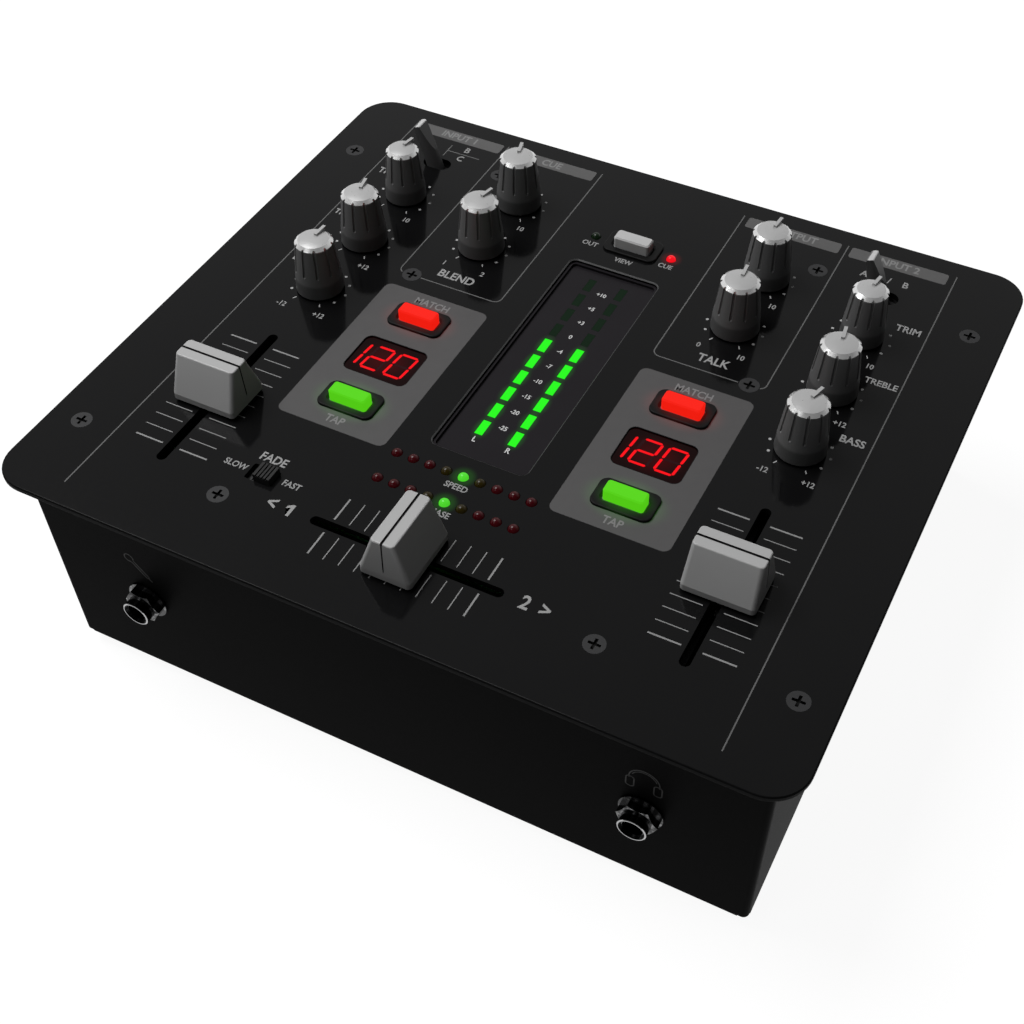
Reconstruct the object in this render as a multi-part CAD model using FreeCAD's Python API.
import FreeCAD, Part
import math
import os

from FreeCAD import Vector

os.makedirs("parts", exist_ok=True)

# A two-channel mixer for disc jockeys: a folded steel case under an overhanging control panel.
# Sizes are in millimetres. X runs to the right, Y to the back and Z up from the table,
# and the origin lies on the table under the middle of the panel.

# Control panel and case
panel_width = 254.0
panel_depth = 225.0
panel_thickness = 2.0
panel_corner_radius = 12.0
panel_edge_round = 0.5
case_side_inset = 7.3
case_end_inset = 7.7
case_height = 78.2
sheet_thickness = 1.2
bend_radius = 0.8
flange_width = 12.0
corner_hem = 2.5
seam_gap = 0.15

# Places on the panel and in the walls, as shares of the panel's half width and half depth
channel_column = 0.66614
monitor_column = 0.36693
board_screw_column = 0.47795
curve_column = -0.41969
jack_column = 0.66378
phono_columns = (-0.69291, -0.3622, -0.0315)
earth_column = -0.52756
data_column = 0.2126
rocker_column = 0.43307
inlet_column = 0.69291
ribbon_column = -0.23622
edge_screw_shares = (0.68889, -0.72267)
board_screw_shares = (0.77778, 0.216, -0.78489)
flange_screw_share = 0.62222
tone_shares = (0.54756, 0.296, 0.04444)
monitor_shares = (0.67111, 0.42222)
toggle_share = 0.74667
meter_button_share = 0.62933
sync_button_share = 0.04178
display_share = -0.14844
beat_button_share = -0.33333
channel_fader_share = -0.47333
crossfader_share = -0.74889
curve_share = -0.67556
light_shares = (-0.44711, -0.54844)
meter_share = 0.06444
meter_depth_share = 0.87556
meter_bar_share = 0.08548

# Clearances: between fixed pieces, round a turning shaft, and between sliding pieces.
# A cutting solid reaches past the faces that it pierces by the over-cut, and points and edges
# closer together than the last value lie in one place.
slip = 0.05
running = 0.05
moving = 0.3
overcut = 1.0
same_place = 1e-4

# Feet and screws
foot_height = 4.0
foot_radius = 7.0
foot_tip_radius = 6.2
foot_tip_round = 0.6
foot_edge_inset = 22.0
foot_recess_radius = 3.6
foot_recess_depth = 2.3
screw_radius = 1.5
pan_head_radius = 2.9
pan_head_height = 1.7
pan_head_round = 0.9
floor_screw_length = 5.0
flange_screw_inset = 6.5
countersunk_head_radius = 3.3
countersunk_head_depth = 1.7
panel_screw_length = 8.0
cross_recess_length = 3.8
cross_recess_width = 0.9
cross_recess_depth = 1.0
edge_screw_inset = 3.9
board_screw_length = 7.0

# Control board under the panel
board_gap = 14.0
board_thickness = 1.6
board_wall_clearance = 6.0
standoff_radius = 3.2
standoff_hole_depth = 6.3

# Knobs on potentiometer shafts
knob_gap = 0.6
knob_base_radius = 8.05
knob_skirt_radius = 7.75
knob_skirt_height = 5.3
knob_shoulder_radius = 6.3
knob_shoulder_height = 18.3
gain_knob_spread = 0.9
knob_waist_round = 12.0
knob_edge_round = 0.4
knob_wall = 1.5
knob_boss_radius = 4.4
knob_cavity_depth = 9.0
knob_bore_height = 15.6
knob_spigot_radius = 4.8
knob_spigot_depth = 1.2
knob_cap_land = 0.35
knob_cap_chamfer_run = 1.15
knob_cap_chamfer_rise = 1.0
knob_crown = 0.6
knob_groove_count = 10
knob_groove_radius = 0.5
knob_groove_foot = 8.9
pointer_width = 1.1
pointer_inner_end = 1.2
pointer_outer_end = 6.4
pointer_rise = 0.6
shaft_radius = 3.0
shaft_hole_clearance = 0.6
pot_width = 11.5
pot_depth = 13.0
pot_height = 8.0
pot_floor = 2.0
bushing_radius = 3.6
bushing_panel_gap = 1.0

# Faders
fader_travel = 50.0
fader_slot_length = 62.5
fader_slot_width = 3.3
lever_width = 8.0
lever_thickness = 1.6
lever_reach = 12.1
carriage_length = 10.0
carriage_width = 6.0
carriage_height = 5.0
fader_frame_wall = 1.4
fader_frame_end = 7.0
fader_cap_gap = 1.1
fader_cap_width = 22.3
fader_cap_length = 16.5
fader_cap_skirt = 2.0
fader_cap_top_width = 21.0
fader_cap_top_length = 7.4
fader_cap_height = 15.8
fader_cap_corner = 1.4
fader_cap_inner_corner = 0.2
fader_cap_edge = 0.5
fader_cap_wall = 1.5
fader_cap_boss_width = 11.5
fader_cap_boss_length = 4.6
fader_line_width = 0.8
fader_line_depth = 0.6
fader_end_line_width = 0.45
fader_end_line_depth = 0.35
fader_end_line_foot = 5.0

# Push buttons and their bezels
button_width = 13.0
button_depth = 5.0
button_corner = 0.9
button_height = 4.1
button_bevel_height = 0.5
button_bevel_width = 0.4
button_travel = 1.5
button_flange_lip = 1.1
button_flange_thickness = 1.0
button_stem_radius = 2.0
button_stem_overlap = 2.5
bezel_width = 19.5
bezel_depth = 11.6
bezel_corner = 2.7
bezel_height = 0.9
bezel_edge_round = 0.4
bezel_dish = 0.9
bezel_dish_foot = 0.2
bezel_dish_overshoot = 0.1
bezel_sleeve_wall = 0.9
bezel_sleeve_drop = 1.0
switch_size = 8.0
switch_height = 8.0
switch_floor = 1.0

# Displays, level meter and lights
display_width = 22.5
display_depth = 17.0
display_corner = 2.5
display_recess = 0.4
display_lip = 1.8
display_lip_thickness = 1.5
module_gap = 0.3
meter_width = 32.4
meter_corner = 2.5
meter_bevel = 0.4
meter_lip = 3.0
meter_rim = 0.9
meter_rim_rise = 0.9
meter_window_thickness = 2.0
meter_bar_x = 5.7
meter_bar_width = 2.6
meter_bar_depth = 6.2
meter_bar_count = 10
light_pitch = 5.63
lights_per_row = 9
status_light_x = 14.1
light_radius = 1.65
light_hole_clearance = 0.15
light_rise = 1.3
light_flange_radius = 2.2
light_flange_thickness = 0.9
light_body_depth = 3.0
spacer_bore_radius = 1.2

# Input toggles
toggle_slot_length = 10.6
toggle_slot_width = 6.4
toggle_lever_radius = 2.9
toggle_pivot_depth = 3.3
toggle_pin_radius = 0.9
toggle_pin_length = 7.8
toggle_lever_length = 19.1
toggle_tip_thickness = 2.4
toggle_tip_round = 0.5
toggle_wedge_start = 8.8
toggle_lean = 19.0
toggle_tail_radius = 1.2
toggle_tail_length = 5.0
toggle_body_width = 14.0
toggle_body_depth = 9.0

# Curve slide switch
curve_slot_width = 9.3
curve_slot_depth = 6.3
curve_slot_corner = 0.6
curve_travel = 3.0
curve_grip_rise = 2.4
curve_rib_count = 5
curve_rib_groove = 0.45
curve_rib_depth = 0.6
curve_stem_width = 3.0
curve_stem_depth = 2.6
curve_stem_drop = 4.0
curve_body_width = 14.0
curve_body_depth = 8.5

# Jack sockets in the front wall
jack_drop = 43.5
jack_bore_radius = 3.2
jack_barrel_radius = 4.5
jack_barrel_rise = 7.1
jack_barrel_seat = 6.0
jack_rim_chamfer = 0.15
jack_mouth_radius = 4.05
jack_mouth_depth = 0.9
jack_nut_flats = 11.0
jack_nut_thickness = 3.2
jack_nut_chamfer_reach = 0.95
jack_nut_chamfer_rise = 0.55
jack_washer_radius = 6.9
jack_washer_thickness = 0.8
jack_body_size = 16.0
jack_body_depth = 30.0
jack_plug_clearance = 0.2
jack_plug_depth = 24.0

# Sockets in the rear wall
socket_drop = 24.6
phono_pitch_x = 14.0
phono_pitch_z = 17.0
phono_sleeve_radius = 4.15
phono_sleeve_wall = 0.45
phono_rise = 7.2
phono_bore_radius = 1.65
phono_insulator_recess = 0.3
phono_pin_depth = 7.0
phono_pin_clearance = 0.25
phono_block_margin = 7.5
phono_block_depth = 12.0
earth_post_spacing = 17.0
earth_post_radius = 2.0
earth_post_rise = 7.0
thumb_nut_radius = 4.4
thumb_nut_thickness = 3.6
thumb_nut_grips = 16
thumb_nut_grip_radius = 0.5
lock_nut_radius = 3.8
lock_nut_thickness = 2.4
data_shell_width = 12.0
data_shell_height = 11.0
data_shell_depth = 16.0
data_shell_rise = 0.8
data_mouth_width = 8.5
data_mouth_height = 7.8
data_mouth_chamfer = 1.6
data_mouth_depth = 9.0
data_tongue_width = 5.6
data_tongue_height = 3.2
data_tongue_recess = 1.0
rocker_width = 10.0
rocker_half_length = 8.0
rocker_swing = 9.0
rocker_rise = 1.6
rocker_depth = 3.0
rocker_heel_round = 1.5
rocker_edge_round = 0.4
rocker_pin_radius = 1.0
rocker_pin_length = 1.0
rocker_frame_rim = 1.7
rocker_frame_rise = 1.5
rocker_body_depth = 13.0
rocker_body_wall = 1.4
inlet_mouth_width = 24.6
inlet_mouth_height = 16.6
inlet_mouth_chamfer = 4.0
inlet_mouth_depth = 16.0
inlet_wall = 1.6
inlet_flange_lip = 2.2
inlet_flange_thickness = 2.5
inlet_flange_round = 1.0
inlet_floor = 2.5
inlet_pin_width = 2.0
inlet_pin_height = 4.0
inlet_pin_pitch = 7.0
inlet_pin_offset = 2.0
inlet_pin_recess = 5.0
inlet_terminal_length = 8.0

# Boards on the rear wall and the floor
socket_board_margin = 2.0
power_board_side_gap = 11.7
power_board_rear_gap = 39.6
power_board_width = 92.0
power_board_depth = 84.0
power_post_height = 8.0
power_post_inset = 6.0
power_post_radius = 3.0
transformer_offset_x = 20.0
transformer_offset_y = 8.0
core_width = 42.0
core_height = 35.0
core_stack = 16.0
core_leg = 7.0
coil_overhang = 6.0
coil_clearance = 0.4
coil_corner = 3.0
ribbon_width = 32.0
ribbon_thickness = 0.9
ribbon_reach = 14.0
ribbon_bend = 5.0
ribbon_rise = 8.0

# Levels and faces that follow from the values above
UP = Vector(0, 0, 1)
RIGHT = Vector(1, 0, 0)
BACK = Vector(0, 1, 0)
ORIGIN = Vector(0, 0, 0)
case_x = panel_width / 2 - case_side_inset
case_y = panel_depth / 2 - case_end_inset
wall_inside = case_y - sheet_thickness
floor_under = foot_height
floor_top = floor_under + sheet_thickness
panel_under = floor_under + case_height
panel_top = panel_under + panel_thickness
board_top = panel_under - board_gap
board_under = board_top - board_thickness
jack_z = panel_top - jack_drop
socket_z = board_under - socket_drop
ribbon_z = socket_z + ribbon_rise
half_width = panel_width / 2
half_depth = panel_depth / 2
channel_x = channel_column * half_width
monitor_x = monitor_column * half_width
board_screw_x = board_screw_column * half_width
curve_x = curve_column * half_width
jack_x = jack_column * half_width
phono_block_centres = [share * half_width for share in phono_columns]
earth_post_x = earth_column * half_width
data_x = data_column * half_width
rocker_x = rocker_column * half_width
inlet_x = inlet_column * half_width
ribbon_x = ribbon_column * half_width
edge_screw_rows = [share * half_depth for share in edge_screw_shares]
board_screw_rows = [share * half_depth for share in board_screw_shares]
flange_screw_spacing = flange_screw_share * half_depth
tone_rows = [share * half_depth for share in tone_shares]
monitor_rows = [share * half_depth for share in monitor_shares]
toggle_y = toggle_share * half_depth
meter_button_y = meter_button_share * half_depth
sync_button_y = sync_button_share * half_depth
display_y = display_share * half_depth
beat_button_y = beat_button_share * half_depth
channel_fader_y = channel_fader_share * half_depth
crossfader_y = crossfader_share * half_depth
curve_y = curve_share * half_depth
light_rows = [share * half_depth for share in light_shares]
meter_y = meter_share * half_depth
meter_depth = meter_depth_share * half_depth
meter_bar_pitch = meter_bar_share * meter_depth
meter_bar_first_y = meter_y + meter_depth / 2 - meter_bar_pitch
power_board_x = case_x - power_board_side_gap - power_board_width / 2
power_board_y = wall_inside - power_board_rear_gap - power_board_depth / 2
transformer_x = power_board_x + transformer_offset_x
transformer_y = power_board_y + transformer_offset_y
knob_places = {
    "gain_1_knob": (-channel_x, tone_rows[0]),
    "high_1_knob": (-channel_x, tone_rows[1]),
    "low_1_knob": (-channel_x, tone_rows[2]),
    "cue_level_knob": (-monitor_x, monitor_rows[0]),
    "cue_mix_knob": (-monitor_x, monitor_rows[1]),
    "main_level_knob": (monitor_x, monitor_rows[0]),
    "mic_gain_knob": (monitor_x, monitor_rows[1]),
    "gain_2_knob": (channel_x, tone_rows[0]),
    "high_2_knob": (channel_x, tone_rows[1]),
    "low_2_knob": (channel_x, tone_rows[2]),
}
narrow_knobs = ("gain_1_knob", "gain_2_knob")
knob_settings = {
    "gain_1_knob": 10.0,
    "high_1_knob": -10.0,
    "low_1_knob": 3.0,
    "cue_level_knob": -15.0,
    "cue_mix_knob": 13.0,
    "main_level_knob": 6.0,
    "mic_gain_knob": -4.0,
    "gain_2_knob": 10.0,
    "high_2_knob": -8.0,
    "low_2_knob": 16.0,
}
fader_places = {
    "channel_1_fader": (-channel_x, channel_fader_y, 0),
    "channel_2_fader": (channel_x, channel_fader_y, 0),
    "crossfader": (0, crossfader_y, 90),
}
button_places = {
    "sync_1_button": (-monitor_x, sync_button_y),
    "beat_1_button": (-monitor_x, beat_button_y),
    "sync_2_button": (monitor_x, sync_button_y),
    "beat_2_button": (monitor_x, beat_button_y),
    "meter_button": (0, meter_button_y),
}
toggle_places = {"input_1_toggle": -channel_x, "input_2_toggle": channel_x}
display_centres = (-monitor_x, monitor_x)
meter_bars = [
    (side * meter_bar_x, meter_bar_first_y - row * meter_bar_pitch)
    for side in (-1, 1)
    for row in range(meter_bar_count)
]
light_places = [
    ((place - (lights_per_row - 1) / 2) * light_pitch, y)
    for y in light_rows
    for place in range(lights_per_row)
]
light_places += [(-status_light_x, meter_button_y), (status_light_x, meter_button_y)]
edge_screw_x = case_x - edge_screw_inset
edge_screws = [(side * edge_screw_x, y) for side in (-1, 1) for y in edge_screw_rows]
board_screws = [(side * board_screw_x, y) for side in (-1, 1) for y in board_screw_rows]
foot_places = [
    (sx * (case_x - foot_edge_inset), sy * (case_y - foot_edge_inset)) for sx in (-1, 1) for sy in (-1, 1)
]
flange_screws = [
    (side * (case_x - flange_screw_inset), step * flange_screw_spacing)
    for side in (-1, 1)
    for step in (-1, 0, 1)
]
phono_places = [
    (centre + sx * phono_pitch_x / 2, socket_z + sz * phono_pitch_z / 2)
    for centre in phono_block_centres
    for sx in (-1, 1)
    for sz in (-1, 1)
]
earth_places = [(earth_post_x, socket_z + side * earth_post_spacing / 2) for side in (-1, 1)]


# Shapes used by several pieces


def save(node, solids):
    """Writes the solids of one node."""
    Part.makeCompound(solids).exportStep(os.path.join("parts", node + ".step"))


def moved(solid, x=0, y=0, z=0):
    """A copy of a solid, moved."""
    copy = solid.copy()
    copy.translate(Vector(x, y, z))
    return copy


def block(x, y, width, depth, low, high):
    """A box centred on a point of the plan."""
    return Part.makeBox(width, depth, high - low, Vector(x - width / 2, y - depth / 2, low))


def wall_block(x, z, width, height, front, back):
    """A box centred on a point of a front or rear wall."""
    return Part.makeBox(width, back - front, height, Vector(x - width / 2, front, z - height / 2))


def disc(x, y, radius, low, high):
    """An upright cylinder."""
    return Part.makeCylinder(radius, high - low, Vector(x, y, low))


def rod(x, z, radius, front, back):
    """A cylinder that runs from front to back."""
    return Part.makeCylinder(radius, back - front, Vector(x, front, z), BACK)


def outline(corners, across, up, origin):
    """A closed wire through corners given as (across, up) or (across, up, radius of the corner's arc)."""
    points = [origin + across * corner[0] + up * corner[1] for corner in corners]
    radii = [corner[2] if len(corner) > 2 else 0 for corner in corners]
    starts = []
    ends = []
    edges = []
    for i, point in enumerate(points):
        before = (points[i - 1] - point).normalize()
        after = (points[(i + 1) % len(points)] - point).normalize()
        half_angle = before.getAngle(after) / 2
        reach = radii[i] / math.tan(half_angle)
        starts.append(point + before * reach)
        ends.append(point + after * reach)
        if radii[i]:
            bisector = (before + after).normalize()
            middle = point + bisector * (radii[i] / math.sin(half_angle) - radii[i])
            edges.append(Part.Arc(starts[i], middle, ends[i]).toShape())
    for i, end in enumerate(ends):
        start = starts[(i + 1) % len(starts)]
        if end.distanceToPoint(start) > same_place:
            edges.append(Part.makeLine(end, start))
    return Part.Wire(Part.__sortEdges__(edges))


def rounded_rectangle(x, y, width, depth, height, radius):
    """A level rectangle with rounded corners."""
    corners = [(sx * width / 2, sy * depth / 2, radius) for sx, sy in ((-1, -1), (1, -1), (1, 1), (-1, 1))]
    return outline(corners, RIGHT, BACK, Vector(x, y, height))


def rounded_block(x, y, width, depth, low, high, radius):
    """An upright prism with rounded corners."""
    return Part.Face(rounded_rectangle(x, y, width, depth, low, radius)).extrude(UP * (high - low))


def oblong(x, y, length, width, low, high, angle=0):
    """A slot with round ends, along Y, or turned by an angle."""
    straight = length - width
    ends = [disc(0, side * straight / 2, width / 2, low, high) for side in (-1, 1)]
    slot = block(0, 0, width, straight, low, high).fuse(ends).removeSplitter()
    slot.rotate(ORIGIN, UP, angle)
    return moved(slot, x, y)


def tapered(lower, upper):
    """A solid between two level outlines."""
    return Part.makeLoft([lower, upper], True, True)


def turned(corners):
    """A solid of revolution about the Z axis from corners given as (radius, height)."""
    return Part.Face(outline(corners, RIGHT, UP, ORIGIN)).revolve(ORIGIN, UP, 360)


def folded_sheet(path, across, up, origin, thickness, bend):
    """The section of a sheet bent along a path of (across, up) points that turns left at each bend."""
    points = [Vector(a, b, 0) for a, b in path]
    inner = []
    for i, point in enumerate(points):
        runs = [points[i] - points[i - 1]] if i > 0 else []
        runs += [points[i + 1] - points[i]] if i < len(points) - 1 else []
        normals = [UP.cross(run).normalize() for run in runs]
        step = normals[0]
        if len(normals) == 2:
            step = (normals[0] + normals[1]) / (1 + normals[0].dot(normals[1]))
        inner.append(point + step * thickness)
    last = len(points) - 1
    corners = [(p.x, p.y, bend + thickness if 0 < i < last else 0) for i, p in enumerate(points)]
    back = [(p.x, p.y, bend if 0 < i < last else 0) for i, p in enumerate(inner)]
    return Part.Face(outline(corners + back[::-1], across, up, origin))


def hexagon(radius_to_flats, x, y, low, high):
    """An upright hexagonal prism."""
    corner = radius_to_flats / math.cos(math.pi / 6)
    corners = [(corner * math.cos(k * math.pi / 3), corner * math.sin(k * math.pi / 3)) for k in range(6)]
    return Part.Face(outline(corners, RIGHT, BACK, Vector(x, y, low))).extrude(UP * (high - low))


def edges_at(solid, height):
    """The edges of a solid that lie at one height."""
    spans = [(e, e.BoundBox) for e in solid.Edges]
    return [e for e, span in spans if max(span.ZMax - height, height - span.ZMin) < same_place]


def pan_screw(length):
    """A pan-head screw that points up, with the underside of its head at Z 0."""
    head = turned(
        [
            (0, -pan_head_height),
            (pan_head_radius, -pan_head_height, pan_head_round),
            (pan_head_radius, 0),
            (0, 0),
        ]
    )
    screw = head.fuse(disc(0, 0, screw_radius, 0, length)).removeSplitter()
    return screw.cut(cross_recess(-pan_head_height, -pan_head_height + cross_recess_depth))


def cross_recess(low, high):
    """The crossed slots of a screw head."""
    slots = [
        block(0, 0, cross_recess_length, cross_recess_width, low, high),
        block(0, 0, cross_recess_width, cross_recess_length, low, high),
    ]
    return slots[0].fuse(slots[1]).removeSplitter()


# Bottom tray: floor, front wall and rear wall folded from one sheet, with in-turned top flanges.
# Each upright corner is bent round into a short hem that closes the corner against the side panel.
tray_section = folded_sheet(
    [
        (-case_y + flange_width, panel_under),
        (-case_y, panel_under),
        (-case_y, floor_under),
        (case_y, floor_under),
        (case_y, panel_under),
        (case_y - flange_width, panel_under),
    ],
    BACK,
    UP,
    ORIGIN,
    sheet_thickness,
    bend_radius,
)
corner_relief = bend_radius + 2 * sheet_thickness
tray_half = case_x - corner_relief
tray = moved(tray_section, -tray_half).extrude(RIGHT * 2 * tray_half)
hem_section = folded_sheet(
    [(tray_half, -case_y), (case_x, -case_y), (case_x, -case_y + corner_hem)],
    RIGHT,
    BACK,
    UP * (floor_top + bend_radius),
    sheet_thickness,
    bend_radius,
)
hem = hem_section.extrude(UP * (panel_under - floor_top - bend_radius))
right_hems = [hem, hem.mirror(ORIGIN, BACK)]
hems = right_hems + [piece.mirror(ORIGIN, RIGHT) for piece in right_hems]
floor_edge = case_x - tray_half
floor_strips = [
    block(
        side * (tray_half + floor_edge / 2),
        0,
        floor_edge,
        2 * (case_y - corner_relief),
        floor_under,
        floor_top,
    )
    for side in (-1, 1)
]
tray = tray.fuse(hems + floor_strips).removeSplitter()
screw_hole = screw_radius + slip
tray_holes = [
    disc(x, y, screw_hole, floor_under - overcut, floor_top + overcut) for x, y in foot_places + flange_screws
]
inner_cut = wall_inside - overcut
outer_cut = case_y + overcut
tray_holes += [
    rod(side * jack_x, jack_z, jack_barrel_radius + slip, -outer_cut, -inner_cut) for side in (-1, 1)
]
tray_holes += [rod(x, z, phono_sleeve_radius + moving, inner_cut, outer_cut) for x, z in phono_places]
tray_holes += [rod(x, z, earth_post_radius + slip, inner_cut, outer_cut) for x, z in earth_places]
rocker_end_rise = rocker_rise + rocker_half_length * math.tan(math.radians(rocker_swing))
rocker_reach = math.hypot(rocker_half_length, rocker_end_rise)
rocker_mouth_width = rocker_width + 2 * moving
rocker_mouth_height = 2 * (rocker_reach + moving)
rocker_body_width = rocker_mouth_width + 2 * rocker_body_wall
rocker_body_height = rocker_mouth_height + 2 * rocker_body_wall
inlet_body_width = inlet_mouth_width + 2 * inlet_wall
inlet_body_height = inlet_mouth_height + 2 * inlet_wall
for x, width, height in (
    (data_x, data_shell_width, data_shell_height),
    (rocker_x, rocker_body_width, rocker_body_height),
    (inlet_x, inlet_body_width, inlet_body_height),
):
    tray_holes.append(wall_block(x, socket_z, width + 2 * slip, height + 2 * slip, inner_cut, outer_cut))
flange_notch = flange_width + seam_gap
tray_holes += [
    block(
        side * (case_x - flange_notch / 2),
        0,
        flange_notch,
        2 * (case_y - corner_hem),
        panel_under - sheet_thickness - seam_gap,
        panel_under + overcut,
    )
    for side in (-1, 1)
]
save("bottom_tray", [tray.cut(tray_holes)])

# Side panels: shallow pans with all four edges turned in, seated on the floor between the corner hems
side_half_depth = case_y - corner_hem - seam_gap
side_corner = bend_radius + sheet_thickness


def side_blank(outside, inside, half_depth, low, high, radius):
    """A block with the edges of its outer face rounded, for the right-hand side panel."""
    corners = [(side * half_depth, low, radius) for side in (-1, 1)]
    corners += [(side * half_depth, high, radius) for side in (1, -1)]
    return Part.Face(outline(corners, BACK, UP, RIGHT * inside)).extrude(RIGHT * (outside - inside))


side_panel = side_blank(case_x, case_x - flange_width, side_half_depth, floor_top, panel_under, side_corner)
side_panel = side_panel.cut(
    side_blank(
        case_x - sheet_thickness,
        case_x - flange_width - overcut,
        side_half_depth - sheet_thickness,
        floor_top + sheet_thickness,
        panel_under - sheet_thickness,
        bend_radius,
    )
)
side_holes = [
    disc(x, y, screw_hole, panel_under - flange_width, panel_under + overcut) for x, y in edge_screws
]
side_holes += [
    disc(x, y, screw_hole, floor_top - overcut, floor_top + flange_width) for x, y in flange_screws
]
save("right_side_panel", [side_panel.cut(side_holes)])
save("left_side_panel", [side_panel.mirror(ORIGIN, RIGHT).cut(side_holes)])

# Rubber feet with a recess for the screw, and the pan-head screws under the floor
foot = turned(
    [
        (screw_hole, foot_height),
        (screw_hole, foot_recess_depth),
        (foot_recess_radius, foot_recess_depth),
        (foot_recess_radius, 0),
        (foot_tip_radius, 0, foot_tip_round),
        (foot_radius, foot_height),
    ]
)
save("rubber_feet", [moved(foot, x, y) for x, y in foot_places])
floor_screw = pan_screw(floor_screw_length)
floor_screw_solids = [moved(floor_screw, x, y, foot_recess_depth) for x, y in foot_places]
floor_screw_solids += [moved(floor_screw, x, y, floor_under) for x, y in flange_screws]
save("floor_screws", floor_screw_solids)

# Panel screws: countersunk, flush with the panel
countersunk = turned(
    [
        (0, panel_top),
        (countersunk_head_radius, panel_top),
        (screw_radius, panel_top - countersunk_head_depth),
        (screw_radius, panel_top - panel_screw_length),
        (0, panel_top - panel_screw_length),
    ]
)
countersunk = countersunk.cut(cross_recess(panel_top - cross_recess_depth, panel_top + overcut))
save("panel_screws", [moved(countersunk, x, y) for x, y in edge_screws + board_screws])

# Control panel: a thick plate with rounded corners and edges, pierced for every control
panel = rounded_block(0, 0, panel_width, panel_depth, panel_under, panel_top, panel_corner_radius)
panel = panel.makeFillet(panel_edge_round, edges_at(panel, panel_top) + edges_at(panel, panel_under))
below = panel_under - overcut
above = panel_top + overcut
screw_seat = turned(
    [
        (0, above),
        (countersunk_head_radius + slip, above),
        (countersunk_head_radius + slip, panel_top),
        (screw_hole, panel_top - countersunk_head_depth),
        (screw_hole, below),
        (0, below),
    ]
)
sleeve_width = button_width + 2 * (moving + bezel_sleeve_wall)
sleeve_depth = button_depth + 2 * (moving + bezel_sleeve_wall)
sleeve_corner = button_corner + moving + bezel_sleeve_wall
panel_cuts = [moved(screw_seat, x, y) for x, y in edge_screws + board_screws]
panel_cuts += [disc(x, y, shaft_radius + shaft_hole_clearance, below, above) for x, y in knob_places.values()]
panel_cuts += [
    oblong(x, y, fader_slot_length, fader_slot_width, below, above, angle)
    for x, y, angle in fader_places.values()
]
panel_cuts += [
    rounded_block(x, y, sleeve_width + 2 * slip, sleeve_depth + 2 * slip, below, above, sleeve_corner + slip)
    for x, y in button_places.values()
]
panel_cuts += [
    rounded_block(x, display_y, display_width, display_depth, below, above, display_corner)
    for x in display_centres
]
panel_cuts.append(rounded_block(0, meter_y, meter_width, meter_depth, below, above, meter_corner))
panel_cuts.append(
    tapered(
        rounded_rectangle(0, meter_y, meter_width, meter_depth, panel_top - meter_bevel, meter_corner),
        rounded_rectangle(
            0,
            meter_y,
            meter_width + 4 * meter_bevel,
            meter_depth + 4 * meter_bevel,
            panel_top + meter_bevel,
            meter_corner + 2 * meter_bevel,
        ),
    )
)
panel_cuts += [disc(x, y, light_radius + light_hole_clearance, below, above) for x, y in light_places]
panel_cuts.append(
    rounded_block(curve_x, curve_y, curve_slot_width, curve_slot_depth, below, above, curve_slot_corner)
)
panel_cuts += [
    oblong(x, toggle_y, toggle_slot_length, toggle_slot_width, below, above, 90)
    for x in toggle_places.values()
]
save("top_panel", [panel.cut(panel_cuts)])

# Control board on hexagonal standoffs, which the inner panel screws hold from above
board = block(
    0,
    0,
    2 * (case_x - sheet_thickness - board_wall_clearance),
    2 * (wall_inside - board_wall_clearance),
    board_under,
    board_top,
)
board_holes = [disc(x, y, screw_hole, board_under - overcut, board_top + overcut) for x, y in board_screws]
save("control_board", [board.cut(board_holes)])
power_board_under = floor_top + power_post_height
power_posts = [
    (
        power_board_x + sx * (power_board_width / 2 - power_post_inset),
        power_board_y + sy * (power_board_depth / 2 - power_post_inset),
    )
    for sx in (-1, 1)
    for sy in (-1, 1)
]
standoff = hexagon(standoff_radius, 0, 0, board_top, panel_under)
standoff = standoff.cut(
    [
        disc(0, 0, screw_hole, panel_under - standoff_hole_depth, panel_under + overcut),
        disc(0, 0, screw_hole, board_top - overcut, board_top + standoff_hole_depth),
    ]
)
standoffs = [moved(standoff, x, y) for x, y in board_screws]
standoffs += [disc(x, y, power_post_radius, floor_top, power_board_under) for x, y in power_posts]
save("board_standoffs", standoffs)
board_screw = pan_screw(board_screw_length)
save("board_screws", [moved(board_screw, x, y, board_under) for x, y in board_screws])

# Potentiometers: square body on the board with a round bushing that carries the shaft
pot = block(0, 0, pot_width, pot_depth, board_top, board_top + pot_height)
pot = pot.fuse(disc(0, 0, bushing_radius, board_top + pot_height, panel_under - bushing_panel_gap))
pot = pot.cut(disc(0, 0, shaft_radius + running, board_top + pot_floor, panel_under))
save("pot_bodies", [moved(pot, x, y) for x, y in knob_places.values()])

# Knobs: tapered grooved body on the shaft, with a light cap that carries the raised pointer
knob_taper = (knob_shoulder_radius - knob_skirt_radius) / (knob_shoulder_height - knob_skirt_height)


def knob_radius(height):
    """The outside radius of the tapered part of a knob, at a height above the panel."""
    return knob_skirt_radius + knob_taper * (height - knob_skirt_height)


cavity_top = knob_gap + knob_cavity_depth
land_height = knob_shoulder_height + knob_cap_land
rim_height = land_height + knob_cap_chamfer_rise
crown_height = rim_height + knob_crown
over = 2 * knob_crown / knob_cap_chamfer_rise
pointer_length = pointer_outer_end - pointer_inner_end


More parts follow.
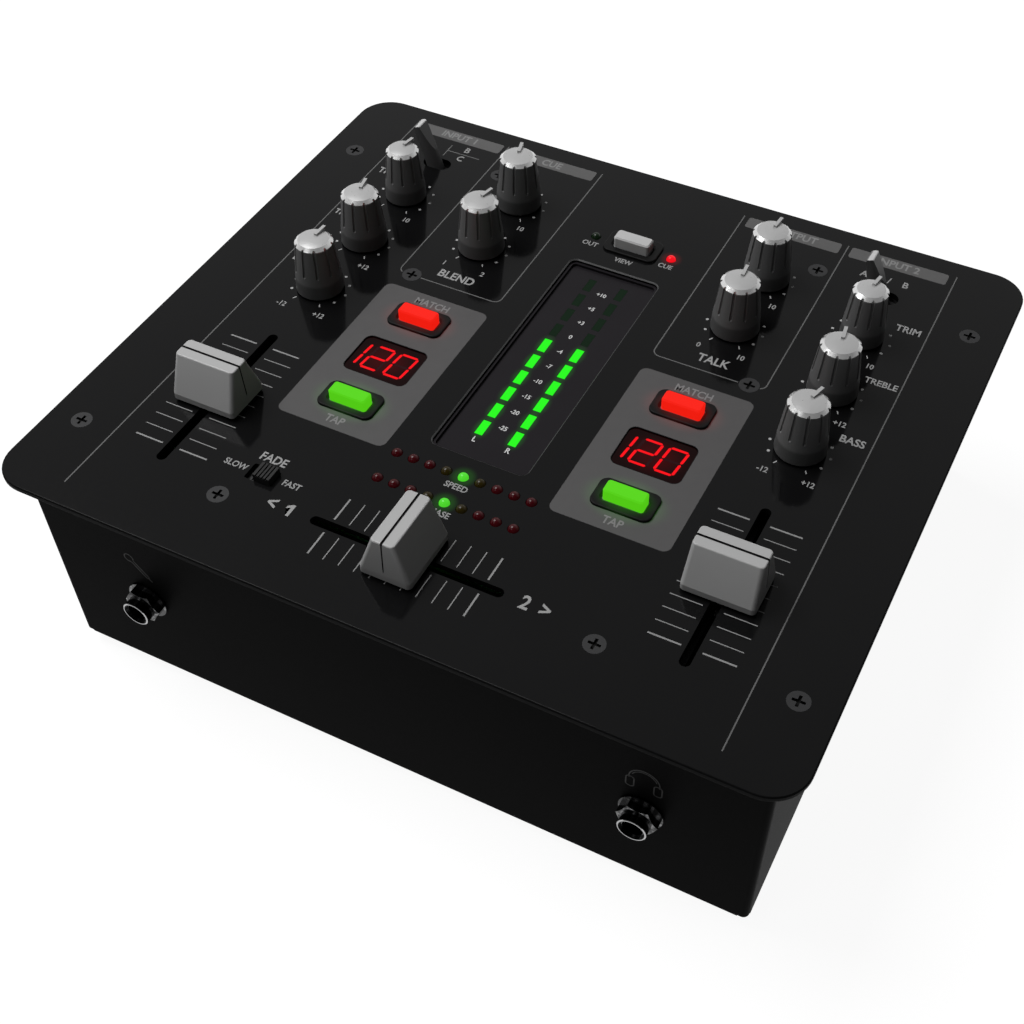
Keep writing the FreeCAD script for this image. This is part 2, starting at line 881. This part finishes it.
def knob_solids(spread):
    """The grooved body and the cap of a knob whose outside is spread by a factor."""
    spigot = knob_spigot_radius * spread
    shoulder = knob_shoulder_radius * spread
    spigot_floor = knob_shoulder_height - knob_spigot_depth
    body = turned(
        [
            (shaft_radius + slip, knob_gap),
            (knob_boss_radius * spread, knob_gap),
            (knob_boss_radius * spread, cavity_top, knob_edge_round),
            (knob_radius(cavity_top) * spread - knob_wall, cavity_top, knob_edge_round),
            (knob_base_radius * spread - knob_wall, knob_gap),
            (knob_base_radius * spread, knob_gap, knob_edge_round),
            (knob_skirt_radius * spread, knob_skirt_height, knob_waist_round),
            (shoulder, knob_shoulder_height),
            (spigot, knob_shoulder_height),
            (spigot, spigot_floor),
            (0, spigot_floor),
            (0, knob_bore_height),
            (shaft_radius + slip, knob_bore_height),
        ]
    )
    crown_span = shoulder - knob_cap_chamfer_run
    cap = turned(
        [
            (0, spigot_floor),
            (spigot - slip, spigot_floor),
            (spigot - slip, knob_shoulder_height),
            (shoulder, knob_shoulder_height),
            (shoulder, land_height),
            (crown_span - over * knob_cap_chamfer_run, rim_height + over * knob_cap_chamfer_rise),
            (0, rim_height + over * knob_cap_chamfer_rise),
        ]
    )
    crown_sphere = (crown_span**2 + knob_crown**2) / (2 * knob_crown)
    cap = cap.common(Part.makeSphere(crown_sphere, Vector(0, 0, crown_height - crown_sphere)))
    groove_foot = Vector(knob_radius(knob_groove_foot) * spread, 0, knob_groove_foot)
    groove_run = Vector(knob_radius(crown_height) * spread, 0, crown_height) - groove_foot
    groove = Part.makeCylinder(knob_groove_radius, groove_run.Length, groove_foot, groove_run)
    groove = groove.fuse(Part.makeSphere(knob_groove_radius, groove_foot)).removeSplitter()
    grooves = []
    for place in range(knob_groove_count):
        turned_groove = groove.copy()
        turned_groove.rotate(ORIGIN, UP, 90 + place * 360 / knob_groove_count)
        grooves.append(turned_groove)
    pointer = block(
        0,
        (pointer_inner_end + pointer_length / 2) * spread,
        pointer_width,
        pointer_length * spread,
        rim_height,
        crown_height + pointer_rise,
    )
    return body.cut(grooves), cap.cut(grooves).fuse(pointer).removeSplitter()


shaft_foot = board_top + pot_floor + running - panel_top
shaft = disc(0, 0, shaft_radius, shaft_foot, knob_bore_height - slip)
for name, (x, y) in knob_places.items():
    turned_knob = []
    for solid in knob_solids(gain_knob_spread if name in narrow_knobs else 1.0):
        solid.rotate(ORIGIN, UP, -knob_settings[name])
        turned_knob.append(solid)
    save(name, [moved(solid, x, y, panel_top) for solid in turned_knob + [shaft]])

# Fader frames: channels on the board with a slot for the lever
frame_width = carriage_width + 2 * (moving + fader_frame_wall)
carriage_low = board_top + fader_frame_wall + moving
carriage_top = carriage_low + carriage_height
frame_top = carriage_top + moving + fader_frame_wall
track_length = fader_travel + carriage_length + 2 * moving
fader_frame = block(0, 0, frame_width, track_length + 2 * fader_frame_end, board_top, frame_top)
fader_frame = fader_frame.cut(
    [
        block(
            0,
            0,
            carriage_width + 2 * moving,
            track_length,
            board_top + fader_frame_wall,
            carriage_top + moving,
        ),
        block(
            0,
            0,
            lever_thickness + 2 * moving,
            fader_travel + lever_width + 2 * moving,
            carriage_top,
            frame_top + overcut,
        ),
    ]
)


def at_faders(solid):
    """Copies of a solid at the three faders, turned to each one's travel."""
    copies = []
    for x, y, angle in fader_places.values():
        copy = solid.copy()
        copy.rotate(ORIGIN, UP, angle)
        copies.append(moved(copy, x, y))
    return copies


save("fader_bodies", at_faders(fader_frame))

# Faders: a metal lever on its carriage, and a hollow wedge cap with a dark line across it
lever_top = panel_top + lever_reach
carriage = block(0, 0, carriage_width, carriage_length, carriage_low, carriage_top)
carriage = carriage.fuse(block(0, 0, lever_thickness, lever_width, carriage_top, lever_top))
cap_low = panel_top + fader_cap_gap
cap_knee = cap_low + fader_cap_skirt
cap_top = panel_top + fader_cap_height


def wedge(inset, low, knee, top):
    """The wedge of a fader cap above its skirt, drawn in all round."""
    share = (top - knee) / (cap_top - cap_knee)
    width = fader_cap_width + (fader_cap_top_width - fader_cap_width) * share
    length = fader_cap_length + (fader_cap_top_length - fader_cap_length) * share
    radius = max(fader_cap_corner - inset, fader_cap_inner_corner)
    knee_size = (fader_cap_width - 2 * inset, fader_cap_length - 2 * inset)
    skirt = rounded_block(0, 0, knee_size[0], knee_size[1], low, knee, radius)
    slope = tapered(
        rounded_rectangle(0, 0, knee_size[0], knee_size[1], knee, radius),
        rounded_rectangle(0, 0, width - 2 * inset, length - 2 * inset, top, radius),
    )
    return skirt.fuse(slope).removeSplitter()


fader_cap = wedge(0, cap_low, cap_knee, cap_top)
fader_cap = fader_cap.makeFillet(fader_cap_edge, edges_at(fader_cap, cap_top))
fader_cap = fader_cap.cut(wedge(fader_cap_wall, cap_low - overcut, cap_knee, cap_top - fader_cap_wall))
boss = block(0, 0, fader_cap_boss_width, fader_cap_boss_length, cap_knee, cap_top - fader_cap_wall)
fader_cap = fader_cap.fuse(boss).removeSplitter()
fader_cap = fader_cap.cut(
    block(0, 0, lever_thickness + 2 * slip, lever_width + 2 * slip, cap_low, lever_top + slip)
)
end_line = block(
    0,
    0,
    fader_cap_width + overcut,
    fader_end_line_width,
    panel_top + fader_end_line_foot,
    cap_top - fader_line_depth,
)
line_core = tapered(
    rounded_rectangle(
        0,
        0,
        fader_cap_width - 2 * fader_end_line_depth,
        fader_cap_length,
        cap_knee,
        fader_cap_corner,
    ),
    rounded_rectangle(
        0,
        0,
        fader_cap_top_width - 2 * fader_end_line_depth,
        fader_cap_top_length,
        cap_top,
        fader_cap_corner,
    ),
)
top_line = block(0, 0, fader_cap_width, fader_line_width, cap_top - fader_line_depth, cap_top + overcut)
fader_cap = fader_cap.cut([end_line.cut(line_core), top_line])
for name, cap, lever in zip(fader_places, at_faders(fader_cap), at_faders(carriage)):
    save(name, [cap, lever])

# Push buttons: bezels pressed into the panel, caps with a retaining flange and stem, switches on the board
mouth_width = button_width + 2 * moving
mouth_depth = button_depth + 2 * moving
mouth_corner = button_corner + moving
sleeve_low = panel_under - bezel_sleeve_drop
bezel = rounded_block(0, 0, bezel_width, bezel_depth, panel_top, panel_top + bezel_height, bezel_corner)
bezel = bezel.makeFillet(bezel_edge_round, edges_at(bezel, panel_top + bezel_height))
bezel = bezel.fuse(rounded_block(0, 0, sleeve_width, sleeve_depth, sleeve_low, panel_top, sleeve_corner))
dish_top = panel_top + bezel_height + bezel_dish_overshoot
bezel = bezel.cut(
    [
        rounded_block(0, 0, mouth_width, mouth_depth, sleeve_low - overcut, dish_top, mouth_corner),
        tapered(
            rounded_rectangle(0, 0, mouth_width, mouth_depth, panel_top + bezel_dish_foot, mouth_corner),
            rounded_rectangle(
                0,
                0,
                mouth_width + 2 * bezel_dish,
                mouth_depth + 2 * bezel_dish,
                dish_top,
                mouth_corner + bezel_dish,
            ),
        ),
    ]
)
save("button_bezels", [moved(bezel, x, y) for x, y in button_places.values()])
flange_top = sleeve_low - slip
flange_low = flange_top - button_flange_thickness
bevel_low = panel_top + button_height - button_bevel_height
switch_top = board_top + switch_height
stem_low = switch_top - button_stem_overlap
button = rounded_block(0, 0, button_width, button_depth, flange_top, bevel_low, button_corner)
button = button.fuse(
    [
        tapered(
            rounded_rectangle(0, 0, button_width, button_depth, bevel_low, button_corner),
            rounded_rectangle(
                0,
                0,
                button_width - 2 * button_bevel_width,
                button_depth - 2 * button_bevel_width,
                panel_top + button_height,
                button_corner - button_bevel_width / 2,
            ),
        ),
        rounded_block(
            0,
            0,
            button_width + 2 * button_flange_lip,
            button_depth + 2 * button_flange_lip,
            flange_low,
            flange_top,
            button_corner,
        ),
        disc(0, 0, button_stem_radius, stem_low, flange_low),
    ]
).removeSplitter()
for name, (x, y) in button_places.items():
    save(name, [moved(button, x, y)])
switch = block(0, 0, switch_size, switch_size, board_top, switch_top)
switch = switch.cut(disc(0, 0, button_stem_radius + running, board_top + switch_floor, switch_top + overcut))
save("button_switches", [moved(switch, x, y) for x, y in button_places.values()])

# Displays: tinted windows with a lip behind the panel, over digit modules on the board
lip_low = panel_under - display_lip_thickness
window = rounded_block(
    0,
    0,
    display_width - 2 * slip,
    display_depth - 2 * slip,
    panel_under,
    panel_top - display_recess,
    display_corner - slip,
)
window = window.fuse(
    rounded_block(
        0,
        0,
        display_width + 2 * display_lip,
        display_depth + 2 * display_lip,
        lip_low,
        panel_under,
        display_corner,
    )
).removeSplitter()
save("display_windows", [moved(window, x, display_y) for x in display_centres])
module = block(0, display_y, display_width, display_depth, board_top, lip_low - module_gap)
save("display_modules", [moved(module, x) for x in display_centres])

# Level meter: a window behind the panel opening with a rim that locates it, and light bars flush in its floor
meter_low = panel_under - meter_window_thickness
meter = rounded_block(
    0,
    meter_y,
    meter_width + 2 * meter_lip,
    meter_depth + 2 * meter_lip,
    meter_low,
    panel_under,
    meter_corner,
)
rim_width = meter_width - 2 * slip
rim_depth = meter_depth - 2 * slip
rim_top = panel_under + meter_rim_rise
meter_frame = rounded_block(0, meter_y, rim_width, rim_depth, panel_under, rim_top, meter_corner - slip)
meter_frame = meter_frame.cut(
    rounded_block(
        0,
        meter_y,
        rim_width - 2 * meter_rim,
        rim_depth - 2 * meter_rim,
        panel_under - overcut,
        rim_top + overcut,
        meter_corner - slip - meter_rim,
    )
)
meter = meter.fuse(meter_frame).removeSplitter()
pockets = [
    block(
        x,
        y,
        meter_bar_width + 2 * slip,
        meter_bar_depth + 2 * slip,
        meter_low - overcut,
        panel_under + overcut,
    )
    for x, y in meter_bars
]
save("meter_window", [meter.cut(pockets)])
bars = [block(x, y, meter_bar_width, meter_bar_depth, board_top, panel_under) for x, y in meter_bars]
save("meter_bars", bars)

# Round lights: domed lenses through the panel, held at height by spacers on the board
light_low = panel_under - light_body_depth
dome_sphere = (light_radius**2 + light_rise**2) / (2 * light_rise)
light = disc(0, 0, light_radius, light_low, panel_top)
dome = Part.makeSphere(dome_sphere, Vector(0, 0, panel_top + light_rise - dome_sphere))
dome = dome.common(disc(0, 0, 2 * light_radius, panel_top, panel_top + 2 * light_rise))
light = light.fuse([dome, disc(0, 0, light_flange_radius, light_low, light_low + light_flange_thickness)])
light = light.removeSplitter()
save("panel_lights", [moved(light, x, y) for x, y in light_places])
spacer = disc(0, 0, light_flange_radius, board_top, light_low).cut(
    disc(0, 0, spacer_bore_radius, board_top - overcut, light_low + overcut)
)
save("light_spacers", [moved(spacer, x, y) for x, y in light_places])

# Input toggles: a round lever that flattens to a blade, leaning to the left. Its ball and cross pin drop into the
# switch body from above, and the panel holds them down.
pivot_z = panel_top - toggle_pivot_depth
tip = toggle_lever_length
wedge_corners = [
    (-toggle_lever_radius, -toggle_lever_radius),
    (toggle_lever_radius, -toggle_lever_radius),
    (toggle_lever_radius, toggle_wedge_start),
    (toggle_tip_thickness / 2, tip, toggle_tip_round),
    (-toggle_tip_thickness / 2, tip, toggle_tip_round),
    (-toggle_lever_radius, toggle_wedge_start),
]
blade = Part.Face(outline(wedge_corners, RIGHT, UP, BACK * -toggle_lever_radius))
blade = blade.extrude(BACK * 2 * toggle_lever_radius)
lever = disc(0, 0, toggle_lever_radius, 0, tip).common(blade)
lever = lever.fuse(
    [
        Part.makeSphere(toggle_lever_radius),
        disc(0, 0, toggle_tail_radius, -toggle_tail_length, 0),
        rod(0, 0, toggle_pin_radius, -toggle_pin_length / 2, toggle_pin_length / 2),
    ]
).removeSplitter()
lever.rotate(ORIGIN, BACK, -toggle_lean)
for name, x in toggle_places.items():
    save(name, [moved(lever, x, toggle_y, pivot_z)])
socket_radius = toggle_lever_radius + moving
pin_bore_radius = toggle_pin_radius + running
pin_reach = toggle_pin_length / 2 + moving
tail_swing = toggle_tail_length * math.sin(math.radians(toggle_lean)) + toggle_tail_radius + moving
toggle_body = block(0, 0, toggle_body_width, toggle_body_depth, board_top, panel_under)
toggle_body = toggle_body.cut(
    [
        Part.makeSphere(socket_radius, Vector(0, 0, pivot_z)),
        oblong(0, 0, toggle_slot_length, toggle_slot_width, pivot_z, panel_under + overcut, 90),
        rod(0, pivot_z, pin_bore_radius, -pin_reach, pin_reach),
        block(0, 0, 2 * pin_bore_radius, 2 * pin_reach, pivot_z, panel_under + overcut),
        block(
            0,
            0,
            2 * tail_swing,
            2 * (toggle_tail_radius + moving),
            pivot_z - toggle_tail_length - moving,
            pivot_z,
        ),
    ]
)
save("toggle_bodies", [moved(toggle_body, x, toggle_y) for x in toggle_places.values()])

# Curve switch: a ribbed grip on a stem that slides in the switch body, resting at its right-hand end
grip_width = curve_slot_width - curve_travel - 2 * moving
grip_depth = curve_slot_depth - 2 * moving
grip_low = panel_under + moving
grip_top = panel_top + curve_grip_rise
stem_end = panel_under - curve_stem_drop
rest_x = curve_x + curve_travel / 2
rib_pitch = grip_width / curve_rib_count
grip = block(rest_x, curve_y, grip_width, grip_depth, grip_low, grip_top)
grip = grip.cut(
    [
        block(
            rest_x + (gap - (curve_rib_count - 2) / 2) * rib_pitch,
            curve_y,
            curve_rib_groove,
            grip_depth + overcut,
            grip_top - curve_rib_depth,
            grip_top + overcut,
        )
        for gap in range(curve_rib_count - 1)
    ]
)
stem = block(rest_x, curve_y, curve_stem_width, curve_stem_depth, stem_end, grip_low)
save("curve_slider", [grip.fuse(stem).removeSplitter()])
curve_body = block(curve_x, curve_y, curve_body_width, curve_body_depth, board_top, panel_under)
curve_body = curve_body.cut(
    block(
        curve_x,
        curve_y,
        curve_travel + curve_stem_width + 2 * moving,
        curve_stem_depth + 2 * moving,
        stem_end - moving,
        panel_under + overcut,
    )
)
save("curve_switch_body", [curve_body])

# Front jacks: plated barrel through the wall, held by a washer and a hexagon nut, in a moulded body
barrel_front = -case_y - jack_barrel_rise
barrel_back = -wall_inside + jack_barrel_seat
washer_front = -case_y - jack_washer_thickness
nut_front = washer_front - jack_nut_thickness
barrel = rod(0, 0, jack_barrel_radius, barrel_front, barrel_back)
barrel = barrel.cut(
    [
        rod(0, 0, jack_bore_radius, barrel_front - overcut, barrel_back + overcut),
        rod(0, 0, jack_mouth_radius, barrel_front - overcut, barrel_front + jack_mouth_depth),
    ]
)
front_edges = [e for e in barrel.Edges if e.BoundBox.YMax < barrel_front + same_place]
rim = max(front_edges, key=lambda e: e.Length)
barrel = barrel.makeChamfer(jack_rim_chamfer, [rim])
washer = rod(0, 0, jack_washer_radius, washer_front, -case_y)
washer = washer.cut(rod(0, 0, jack_barrel_radius + slip, washer_front - overcut, -case_y + overcut))
nut = hexagon(jack_nut_flats / 2, 0, 0, 0, jack_nut_thickness)
nut_cone = turned(
    [
        (0, 0),
        (jack_nut_flats / 2 + jack_nut_chamfer_reach, 0),
        (jack_nut_flats / 2 + jack_nut_chamfer_reach, jack_nut_thickness - jack_nut_chamfer_rise),
        (jack_nut_flats / 2, jack_nut_thickness),
        (0, jack_nut_thickness),
    ]
)
nut = nut.common(nut_cone)
nut = nut.cut(disc(0, 0, jack_barrel_radius + slip, -overcut, jack_nut_thickness + overcut))
nut.rotate(ORIGIN, RIGHT, 90)
nut.translate(BACK * washer_front)
jack_body = wall_block(0, 0, jack_body_size, jack_body_size, -wall_inside, -wall_inside + jack_body_depth)
jack_body = jack_body.cut(
    [
        rod(0, 0, jack_barrel_radius + slip, -wall_inside - overcut, barrel_back),
        rod(0, 0, jack_bore_radius + jack_plug_clearance, barrel_back, -wall_inside + jack_plug_depth),
    ]
)
for node, solid in (
    ("jack_barrels", barrel),
    ("jack_washers", washer),
    ("jack_nuts", nut),
    ("jack_bodies", jack_body),
):
    save(node, [moved(solid, side * jack_x, 0, jack_z) for side in (-1, 1)])

# Phono sockets: plated sleeves over insulators with a centre hole, in moulded housings of four
sleeve_bore = phono_sleeve_radius - phono_sleeve_wall
phono_back = case_y + phono_rise
sleeve = rod(0, 0, phono_sleeve_radius, wall_inside, phono_back).cut(
    rod(0, 0, sleeve_bore, wall_inside - overcut, phono_back + overcut)
)
insulator_back = phono_back - phono_insulator_recess
insulator = rod(0, 0, sleeve_bore - slip, wall_inside, insulator_back).cut(
    rod(0, 0, phono_bore_radius, wall_inside - overcut, insulator_back + overcut)
)
save("phono_sleeves", [moved(sleeve, x, 0, z) for x, z in phono_places])
save("phono_insulators", [moved(insulator, x, 0, z) for x, z in phono_places])
housing_width = phono_pitch_x + 2 * phono_block_margin
housing_height = phono_pitch_z + 2 * phono_block_margin
housing_front = wall_inside - phono_block_depth
pin_holes = [
    rod(x, z, phono_bore_radius + phono_pin_clearance, wall_inside - phono_pin_depth, wall_inside + overcut)
    for x, z in phono_places
]
save(
    "phono_housings",
    [
        wall_block(x, socket_z, housing_width, housing_height, housing_front, wall_inside).cut(pin_holes)
        for x in phono_block_centres
    ],
)

# Earth posts: a stud with a lock nut inside the wall and a grooved thumb nut outside
thumb_nut = rod(0, 0, thumb_nut_radius, case_y, case_y + thumb_nut_thickness)
grip_cuts = [
    rod(
        thumb_nut_radius * math.cos(k * 2 * math.pi / thumb_nut_grips),
        thumb_nut_radius * math.sin(k * 2 * math.pi / thumb_nut_grips),
        thumb_nut_grip_radius,
        case_y - overcut,
        case_y + thumb_nut_thickness + overcut,
    )
    for k in range(thumb_nut_grips)
]
stud_hole = rod(0, 0, earth_post_radius + slip, case_y - overcut, case_y + thumb_nut_thickness + overcut)
thumb_nut = thumb_nut.cut(grip_cuts + [stud_hole])
stud = rod(0, 0, earth_post_radius, wall_inside - lock_nut_thickness, case_y + earth_post_rise)
stud = stud.fuse(rod(0, 0, lock_nut_radius, wall_inside - lock_nut_thickness, wall_inside)).removeSplitter()
save("earth_posts", [moved(solid, x, 0, z) for x, z in earth_places for solid in (stud, thumb_nut)])

# Data socket: a square plated shell with two cut corners round a tongue
data_front = case_y - data_shell_depth
data_back = case_y + data_shell_rise
mouth_floor = data_back - data_mouth_depth


def cut_corner_prism(x, z, width, height, chamfer, front, back):
    """A prism along Y with its two upper corners cut off."""
    half = width / 2
    corners = [
        (-half, -height / 2),
        (half, -height / 2),
        (half, height / 2 - chamfer),
        (half - chamfer, height / 2),
        (-half + chamfer, height / 2),
        (-half, height / 2 - chamfer),
    ]
    return Part.Face(outline(corners, RIGHT, UP, Vector(x, front, z))).extrude(BACK * (back - front))


data_shell = wall_block(data_x, socket_z, data_shell_width, data_shell_height, data_front, data_back)
data_shell = data_shell.cut(
    cut_corner_prism(
        data_x,
        socket_z,
        data_mouth_width,
        data_mouth_height,
        data_mouth_chamfer,
        mouth_floor,
        data_back + overcut,
    )
)
tongue = wall_block(
    data_x,
    socket_z,
    data_tongue_width,
    data_tongue_height,
    mouth_floor,
    data_back - data_tongue_recess,
)
save("data_socket", [data_shell, tongue])

# Power rocker: two dished faces that meet at a middle line, on trunnions in a snap-in frame
frame_back = case_y + rocker_frame_rise
body_front = case_y - rocker_body_depth
rocker_frame = wall_block(
    rocker_x,
    socket_z,
    rocker_body_width + 2 * rocker_frame_rim,
    rocker_body_height + 2 * rocker_frame_rim,
    case_y,
    frame_back,
)
rocker_frame = rocker_frame.makeFillet(
    rocker_frame_rise / 2,
    [e for e in rocker_frame.Edges if e.BoundBox.YMin > frame_back - same_place],
)
rocker_frame = rocker_frame.fuse(
    wall_block(rocker_x, socket_z, rocker_body_width, rocker_body_height, body_front, case_y)
).removeSplitter()
pin_reach = rocker_width / 2 + rocker_pin_length
pin_hole = Part.makeCylinder(
    rocker_pin_radius + running,
    2 * (pin_reach + moving),
    Vector(rocker_x - pin_reach - moving, case_y, socket_z),
    RIGHT,
)
rocker_frame = rocker_frame.cut(
    [
        wall_block(
            rocker_x,
            socket_z,
            rocker_mouth_width,
            rocker_mouth_height,
            body_front + rocker_body_wall,
            frame_back + overcut,
        ),
        pin_hole,
    ]
)
save("rocker_frame", [rocker_frame])
rocker_corners = [
    (-rocker_half_length, -rocker_depth, rocker_heel_round),
    (rocker_half_length, -rocker_depth, rocker_heel_round),
    (rocker_half_length, rocker_end_rise, rocker_edge_round),
    (0, rocker_rise),
    (-rocker_half_length, rocker_end_rise, rocker_edge_round),
]
rocker = Part.Face(outline(rocker_corners, UP, BACK, RIGHT * -rocker_width / 2)).extrude(RIGHT * rocker_width)
pins = Part.makeCylinder(rocker_pin_radius, 2 * pin_reach, RIGHT * -pin_reach, RIGHT)
rocker = rocker.fuse(pins).removeSplitter()
rocker.rotate(ORIGIN, RIGHT, rocker_swing)
save("power_rocker", [moved(rocker, rocker_x, case_y, socket_z)])

# Mains inlet: a snap-in housing with a flange, a keyed mouth and three flat pins
inlet_back = case_y + inlet_flange_thickness
inlet_floor_y = inlet_back - inlet_mouth_depth
inlet_front = inlet_floor_y - inlet_floor
inlet = wall_block(
    inlet_x,
    socket_z,
    inlet_body_width + 2 * inlet_flange_lip,
    inlet_body_height + 2 * inlet_flange_lip,
    case_y,
    inlet_back,
)
inlet = inlet.makeFillet(
    inlet_flange_round,
    [e for e in inlet.Edges if e.BoundBox.YMin > inlet_back - same_place],
)
inlet = inlet.fuse(
    wall_block(inlet_x, socket_z, inlet_body_width, inlet_body_height, inlet_front, case_y)
).removeSplitter()
inlet = inlet.cut(
    cut_corner_prism(
        inlet_x,
        socket_z,
        inlet_mouth_width,
        inlet_mouth_height,
        inlet_mouth_chamfer,
        inlet_floor_y,
        inlet_back + overcut,
    )
)
pin_places = [(side * inlet_pin_pitch, -inlet_pin_offset) for side in (-1, 1)]
pin_places.append((0, inlet_pin_offset))
inlet_pins = [
    wall_block(
        inlet_x + x,
        socket_z + z,
        inlet_pin_width,
        inlet_pin_height,
        inlet_front - inlet_terminal_length,
        inlet_back - inlet_pin_recess,
    )
    for x, z in pin_places
]
save("mains_inlet", [inlet.cut(inlet_pins)] + inlet_pins)

# Socket board behind the phono housings, and the power board with its transformer on the floor
socket_board_left = phono_block_centres[0] - housing_width / 2 - socket_board_margin
socket_board_right = phono_block_centres[-1] + housing_width / 2 + socket_board_margin
socket_board_front = housing_front - board_thickness
save(
    "socket_board",
    [
        wall_block(
            (socket_board_left + socket_board_right) / 2,
            socket_z,
            socket_board_right - socket_board_left,
            housing_height + 2 * socket_board_margin,
            socket_board_front,
            housing_front,
        )
    ],
)
power_board_top = power_board_under + board_thickness
power_board = block(
    power_board_x,
    power_board_y,
    power_board_width,
    power_board_depth,
    power_board_under,
    power_board_top,
)
save("power_board", [power_board])
coil_width = core_width - 2 * core_leg - 2 * coil_clearance
window_height = core_height - 2 * core_leg
core_low = power_board_top + core_leg
core_top = power_board_top + core_height
core = block(transformer_x, transformer_y, core_width, core_stack, power_board_top, core_top)
core = core.cut(
    [
        block(
            transformer_x + side * (core_width / 4 - core_leg / 4),
            transformer_y,
            core_width / 2 - 3 * core_leg / 2,
            core_stack + overcut,
            core_low,
            core_low + window_height,
        )
        for side in (-1, 1)
    ]
)
coil = rounded_block(
    transformer_x,
    transformer_y,
    coil_width,
    core_stack + 2 * coil_overhang,
    core_low + coil_clearance,
    core_low + window_height - coil_clearance,
    coil_corner,
)
leg_hole = block(
    transformer_x,
    transformer_y,
    core_leg + 2 * slip,
    core_stack + 2 * slip,
    core_low,
    core_low + window_height,
)
save("transformer", [core, coil.cut(leg_hole)])

# Ribbon cable from the socket board up to the control board
ribbon_y = socket_board_front - ribbon_reach
ribbon = folded_sheet(
    [(ribbon_y, board_under), (ribbon_y, ribbon_z), (socket_board_front, ribbon_z)],
    BACK,
    UP,
    RIGHT * (ribbon_x - ribbon_width / 2),
    ribbon_thickness,
    ribbon_bend,
).extrude(RIGHT * ribbon_width)
save("ribbon_cable", [ribbon])
